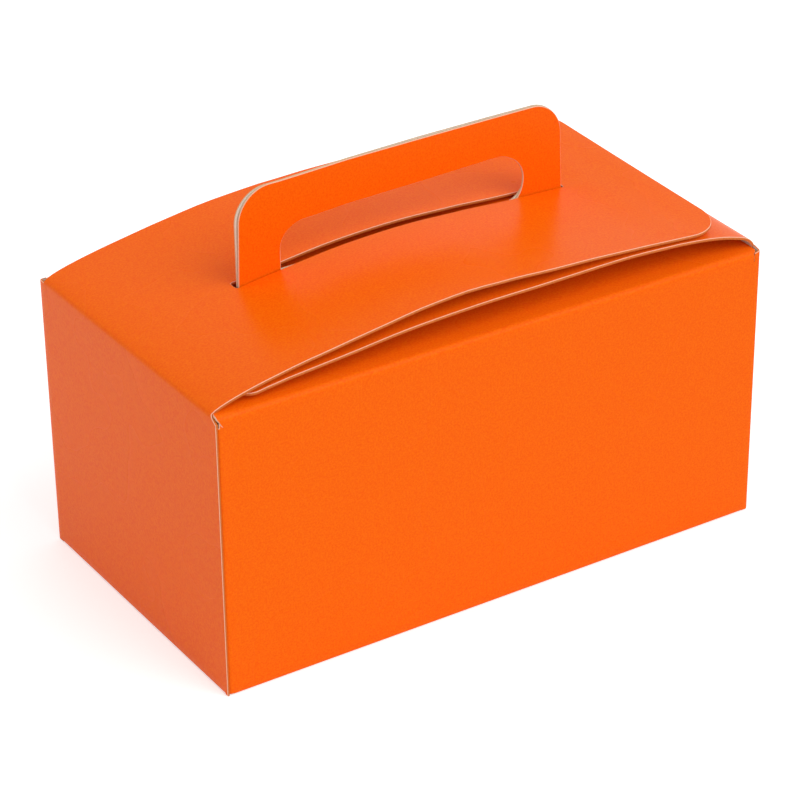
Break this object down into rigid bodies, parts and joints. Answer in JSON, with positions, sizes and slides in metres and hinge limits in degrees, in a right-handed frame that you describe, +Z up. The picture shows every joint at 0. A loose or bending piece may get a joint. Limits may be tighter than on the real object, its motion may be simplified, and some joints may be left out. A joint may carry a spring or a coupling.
{
  "type": "carry handle carton",
  "caption": "Orange folded candy carton with overlapping arched top flaps slotted over a stand-up carry handle; the upper flap opens as the lid.",
  "frame": {"origin": "middle of the underside, on the surface that the carton stands on", "axes": "+Z up; +X along the box, away from the lid's crease; -Y towards the front long panel"},
  "size_m": [0.15, 0.0838, 0.1033],
  "materials": {
    "printed_board": "satin orange print outside, plain pale board inside"
  },
  "bodies": {
    "carton": {"carton": "printed_board"},
    "lid": {"lid_flap": "printed_board"}
  },
  "joints": [
    {"name": "lid_fold", "type": "hinge", "parent": "carton", "child": "lid", "pos_m": [-0.07475, 0, 0.07145], "axis": [0, -1, 0], "range_deg": [0, 170]}
  ]
}
